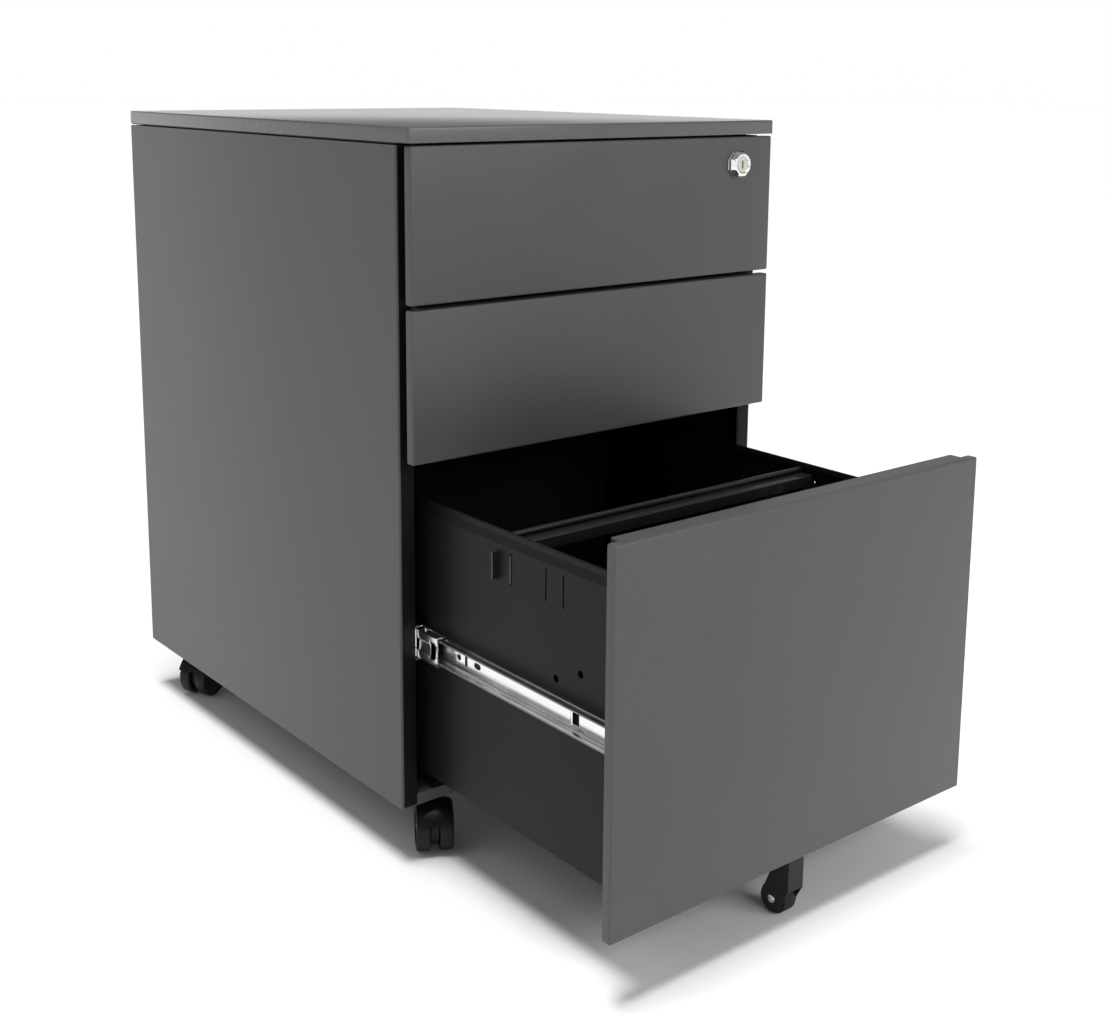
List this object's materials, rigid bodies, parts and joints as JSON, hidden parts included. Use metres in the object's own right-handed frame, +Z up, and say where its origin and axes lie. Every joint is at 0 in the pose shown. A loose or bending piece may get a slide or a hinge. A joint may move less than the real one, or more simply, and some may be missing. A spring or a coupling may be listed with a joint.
{
  "type": "metal filing cabinet",
  "caption": "Mobile steel pedestal cabinet with box drawers over a file drawer, ball slides, a central lock, swivel casters and an anti-tip wheel.",
  "frame": {"origin": "on the floor, under the middle of the whole object's box with the file drawer pulled out as at rest", "axes": "+X across the drawer fronts towards the lock, +Y from the fronts to the back, +Z up to the top"},
  "size_m": [0.39, 0.737, 0.6],
  "materials": {
    "shell_paint": "fine-textured satin powder coat, dark grey",
    "front_paint": "fine-textured satin powder coat, dark grey",
    "inner_paint": "satin powder coat, near black",
    "black_paint": "satin black",
    "zinc_plate": "bright zinc plate",
    "ball_steel": "polished",
    "lock_chrome": "polished chrome",
    "caster_plastic": "moulded black nylon"
  },
  "bodies": {
    "cabinet": {"top_panel": "shell_paint", "left_side_panel": "shell_paint", "right_side_panel": "shell_paint", "left_liner": "inner_paint", "right_liner": "inner_paint", "back_panel": "shell_paint", "bottom_pan": "shell_paint", "top_rails": "shell_paint", "caster_channels": "shell_paint", "caster_plates": "zinc_plate", "caster_screws": "zinc_plate", "top_slide_channels": "zinc_plate", "middle_slide_channels": "zinc_plate", "file_slide_channels": "zinc_plate", "lock_bar_guides": "zinc_plate"},
    "top_drawer": {"top_drawer_front": "front_paint", "top_drawer_inner_front": "inner_paint", "top_drawer_body": "inner_paint", "top_drawer_back": "inner_paint", "top_slide_rails": "zinc_plate", "top_catch": "zinc_plate", "lock_housing": "lock_chrome", "lock_nut": "zinc_plate"},
    "middle_drawer": {"middle_drawer_front": "front_paint", "middle_drawer_inner_front": "inner_paint", "middle_drawer_body": "inner_paint", "middle_drawer_back": "inner_paint", "middle_slide_rails": "zinc_plate", "middle_catch": "zinc_plate"},
    "file_drawer": {"file_drawer_front": "front_paint", "file_drawer_inner_front": "inner_paint", "file_drawer_body": "inner_paint", "file_drawer_back": "inner_paint", "file_slide_rails": "zinc_plate", "file_catch": "zinc_plate", "file_cross_bar": "inner_paint", "tip_bracket": "black_paint", "tip_axle": "zinc_plate"},
    "top_cages": {"top_ball_cages": "zinc_plate", "top_balls": "ball_steel"},
    "middle_cages": {"middle_ball_cages": "zinc_plate", "middle_balls": "ball_steel"},
    "file_cages": {"file_ball_cages": "zinc_plate", "file_balls": "ball_steel"},
    "lock_turn": {"lock_plug": "lock_chrome", "lock_cam": "zinc_plate"},
    "lock_lift": {"lock_bar": "zinc_plate"},
    "tip_roller": {"tip_wheel": "caster_plastic"},
    "front_left_swivel": {"front_left_caster_hood": "caster_plastic", "front_left_caster_axle": "zinc_plate"},
    "front_left_roller": {"front_left_caster_wheels": "caster_plastic"},
    "front_right_swivel": {"front_right_caster_hood": "caster_plastic", "front_right_caster_axle": "zinc_plate"},
    "front_right_roller": {"front_right_caster_wheels": "caster_plastic"},
    "rear_left_swivel": {"rear_left_caster_hood": "caster_plastic", "rear_left_caster_axle": "zinc_plate"},
    "rear_left_roller": {"rear_left_caster_wheels": "caster_plastic"},
    "rear_right_swivel": {"rear_right_caster_hood": "caster_plastic", "rear_right_caster_axle": "zinc_plate"},
    "rear_right_roller": {"rear_right_caster_wheels": "caster_plastic"}
  },
  "joints": [
    {"name": "top_drawer_slide", "type": "slide", "parent": "cabinet", "child": "top_drawer", "axis": [0, -1, 0], "range_m": [0, 0.3]},
    {"name": "middle_drawer_slide", "type": "slide", "parent": "cabinet", "child": "middle_drawer", "axis": [0, -1, 0], "range_m": [0, 0.3]},
    {"name": "file_drawer_slide", "type": "slide", "parent": "cabinet", "child": "file_drawer", "axis": [0, -1, 0], "range_m": [-0.237, 0.063]},
    {"name": "top_cage_slide", "type": "slide", "parent": "cabinet", "child": "top_cages", "axis": [0, -1, 0], "range_m": [0, 0.15]},
    {"name": "middle_cage_slide", "type": "slide", "parent": "cabinet", "child": "middle_cages", "axis": [0, -1, 0], "range_m": [0, 0.15]},
    {"name": "file_cage_slide", "type": "slide", "parent": "cabinet", "child": "file_cages", "axis": [0, -1, 0], "range_m": [-0.1185, 0.0315]},
    {"name": "lock_turn", "type": "hinge", "parent": "top_drawer", "child": "lock_turn", "pos_m": [0.151, -0.1315, 0.562], "axis": [0, -1, 0], "range_deg": [0, 90]},
    {"name": "lock_bar_lift", "type": "slide", "parent": "cabinet", "child": "lock_lift", "axis": [0, 0, 1], "range_m": [0, 0.0099]},
    {"name": "tip_wheel_spin", "type": "hinge", "parent": "file_drawer", "child": "tip_roller", "pos_m": [0, -0.3465, 0.0125], "axis": [1, 0, 0], "continuous": true},
    {"name": "front_left_caster_swivel", "type": "hinge", "parent": "cabinet", "child": "front_left_swivel", "pos_m": [-0.147, -0.085, 0], "axis": [0, 0, 1], "continuous": true},
    {"name": "front_left_wheels_spin", "type": "hinge", "parent": "front_left_swivel", "child": "front_left_roller", "pos_m": [-0.157, -0.10232, 0.02], "axis": [0.866, -0.5, 0], "continuous": true},
    {"name": "front_right_caster_swivel", "type": "hinge", "parent": "cabinet", "child": "front_right_swivel", "pos_m": [0.147, -0.085, 0], "axis": [0, 0, 1], "continuous": true},
    {"name": "front_right_wheels_spin", "type": "hinge", "parent": "front_right_swivel", "child": "front_right_roller", "pos_m": [0.13362, -0.09986, 0.02], "axis": [0.7431, -0.6691, 0], "continuous": true},
    {"name": "rear_left_caster_swivel", "type": "hinge", "parent": "cabinet", "child": "rear_left_swivel", "pos_m": [-0.147, 0.322, 0], "axis": [0, 0, 1], "continuous": true},
    {"name": "rear_left_wheels_spin", "type": "hinge", "parent": "rear_left_swivel", "child": "rear_left_roller", "pos_m": [-0.16482, 0.31292, 0.02], "axis": [0.454, -0.891, 0], "continuous": true},
    {"name": "rear_right_caster_swivel", "type": "hinge", "parent": "cabinet", "child": "rear_right_swivel", "pos_m": [0.147, 0.322, 0], "axis": [0, 0, 1], "continuous": true},
    {"name": "rear_right_wheels_spin", "type": "hinge", "parent": "rear_right_swivel", "child": "rear_right_roller", "pos_m": [0.13042, 0.31082, 0.02], "axis": [0.5592, -0.829, 0], "continuous": true}
  ],
  "couplings": [
    {"joint": "top_cage_slide", "follows": "top_drawer_slide", "ratio": 0.5},
    {"joint": "middle_cage_slide", "follows": "middle_drawer_slide", "ratio": 0.5},
    {"joint": "file_cage_slide", "follows": "file_drawer_slide", "ratio": 0.5},
    {"joint": "lock_turn", "follows": "lock_bar_lift", "rad_per_m": 158.6}
  ]
}
